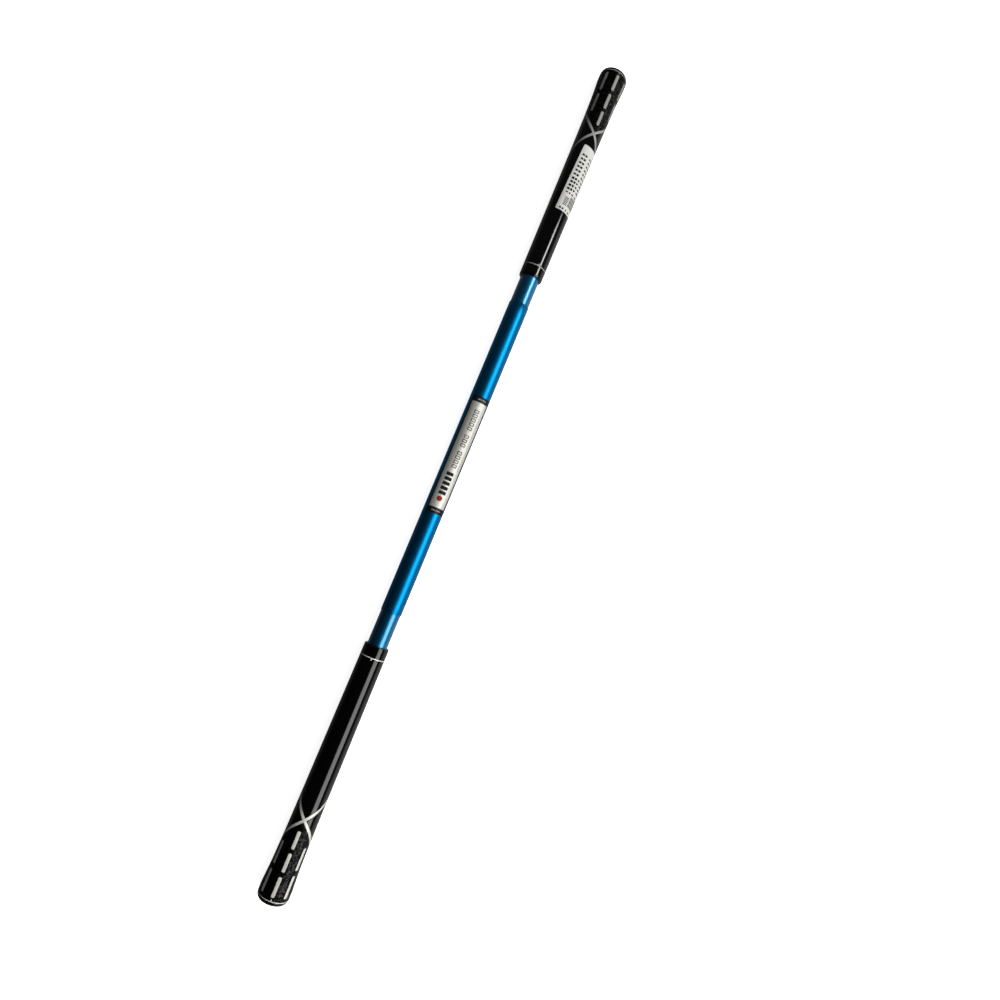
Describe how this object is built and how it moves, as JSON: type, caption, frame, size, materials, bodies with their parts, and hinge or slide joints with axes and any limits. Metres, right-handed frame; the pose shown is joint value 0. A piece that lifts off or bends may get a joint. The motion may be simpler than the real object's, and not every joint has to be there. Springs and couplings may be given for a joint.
{
  "type": "golf swing training stick",
  "caption": "Telescoping stick for swing and body-rotation practice: blue anodised centre tube, an inner tube with a rubber golf grip at each end, and internal twist locks.",
  "frame": {"origin": "on the stick's axis at mid-length, halfway between the two butt ends", "axes": "+X along the stick towards the end with the paper sticker, +Z out of the middle of the name label, +Y to the left of the label seen with +X up"},
  "size_m": [0.96, 0.0324, 0.0324],
  "materials": {
    "blue_anodised_satin": "satin blue anodised",
    "blue_anodised_gloss": "bright blue anodised",
    "grip_rubber": "matt black, silver lines",
    "cap_rubber": "matt black",
    "grip_tape": "matt",
    "silver_foil": "metallised silver film",
    "white_paper": "matt",
    "lock_nylon": "natural nylon",
    "plug_plastic": "black moulded",
    "zinc_steel": "zinc plated",
    "brass": "turned",
    "cork_foam": "closed-cell foam"
  },
  "bodies": {
    "centre": {"centre_tube": "blue_anodised_satin", "name_label": "silver_foil"},
    "upper_slider": {"upper_expander": "lock_nylon"},
    "upper_end": {"upper_inner_tube": "blue_anodised_gloss", "upper_grip_tape": "grip_tape", "upper_grip": "grip_rubber", "upper_butt_cap": "cap_rubber", "upper_tube_stopper": "cork_foam", "upper_lock_plug": "plug_plastic", "upper_lock_screw": "zinc_steel", "upper_lock_washer": "zinc_steel", "upper_stop_clip": "zinc_steel", "price_sticker": "white_paper"},
    "upper_cone": {"upper_cone_nut": "brass"},
    "lower_slider": {"lower_expander": "lock_nylon"},
    "lower_end": {"lower_inner_tube": "blue_anodised_gloss", "lower_grip_tape": "grip_tape", "lower_grip": "grip_rubber", "lower_butt_cap": "cap_rubber", "lower_tube_stopper": "cork_foam", "lower_lock_plug": "plug_plastic", "lower_lock_screw": "zinc_steel", "lower_lock_washer": "zinc_steel", "lower_stop_clip": "zinc_steel"},
    "lower_cone": {"lower_cone_nut": "brass"}
  },
  "joints": [
    {"name": "upper_extend", "type": "slide", "parent": "centre", "child": "upper_slider", "axis": [1, 0, 0], "range_m": [-0.0323, 0.08]},
    {"name": "upper_twist", "type": "hinge", "parent": "upper_slider", "child": "upper_end", "pos_m": [0.07, 0, 0], "axis": [1, 0, 0], "range_deg": [0, 180]},
    {"name": "upper_cone_travel", "type": "slide", "parent": "upper_slider", "child": "upper_cone", "axis": [-1, 0, 0], "range_m": [0, 0.001]},
    {"name": "lower_extend", "type": "slide", "parent": "centre", "child": "lower_slider", "axis": [-1, 0, 0], "range_m": [-0.0354, 0.08]},
    {"name": "lower_twist", "type": "hinge", "parent": "lower_slider", "child": "lower_end", "pos_m": [-0.07, 0, 0], "axis": [-1, 0, 0], "range_deg": [0, 180]},
    {"name": "lower_cone_travel", "type": "slide", "parent": "lower_slider", "child": "lower_cone", "axis": [1, 0, 0], "range_m": [0, 0.001]}
  ],
  "couplings": [
    {"joint": "upper_cone_travel", "follows": "upper_twist", "m_per_rad": 0.00031831},
    {"joint": "lower_cone_travel", "follows": "lower_twist", "m_per_rad": 0.00031831}
  ]
}
